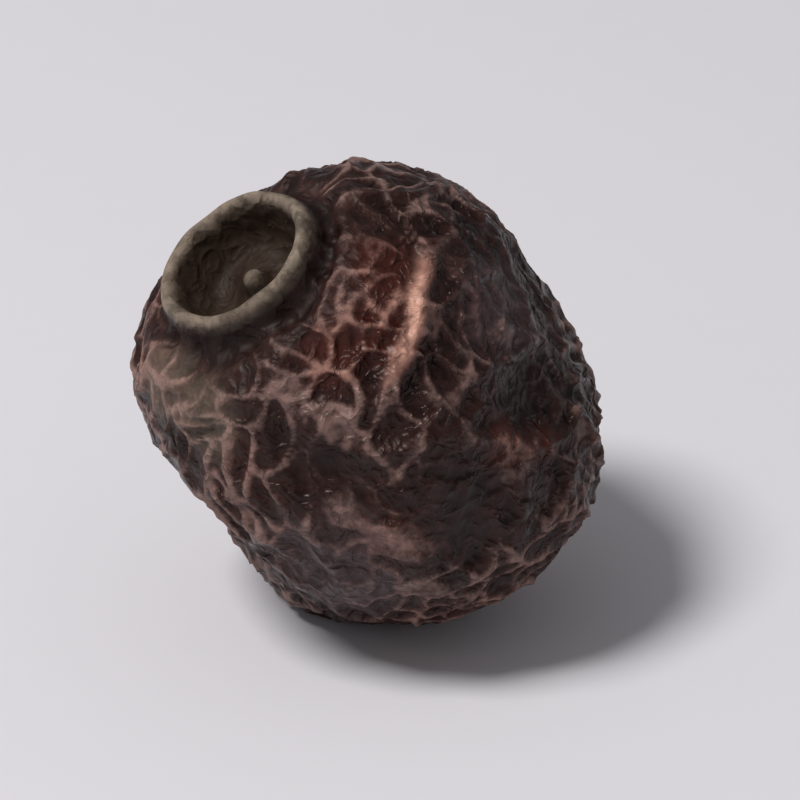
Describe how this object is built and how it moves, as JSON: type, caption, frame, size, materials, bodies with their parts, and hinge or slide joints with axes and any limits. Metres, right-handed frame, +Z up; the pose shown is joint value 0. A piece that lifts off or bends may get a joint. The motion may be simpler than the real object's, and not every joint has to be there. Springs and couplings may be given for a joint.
{
  "type": "dried hawthorn berry",
  "caption": "Single dried hawthorn berry lying on its side: dark wine-brown wrinkled skin, a raised crown ring with a sunken disc, and a small stalk scar.",
  "frame": {"origin": "bottom centre of the berry's box, on the surface that it rests on", "axes": "+Z up from that surface; the berry lies with its crown up, to the left (-X) and a little to the front (-Y)"},
  "size_m": [0.009, 0.009, 0.0094],
  "materials": {
    "dried_skin": "dry wrinkled skin, dull with a slight gloss on the folds"
  },
  "bodies": {
    "root": {"berry": "dried_skin"}
  },
  "joints": []
}
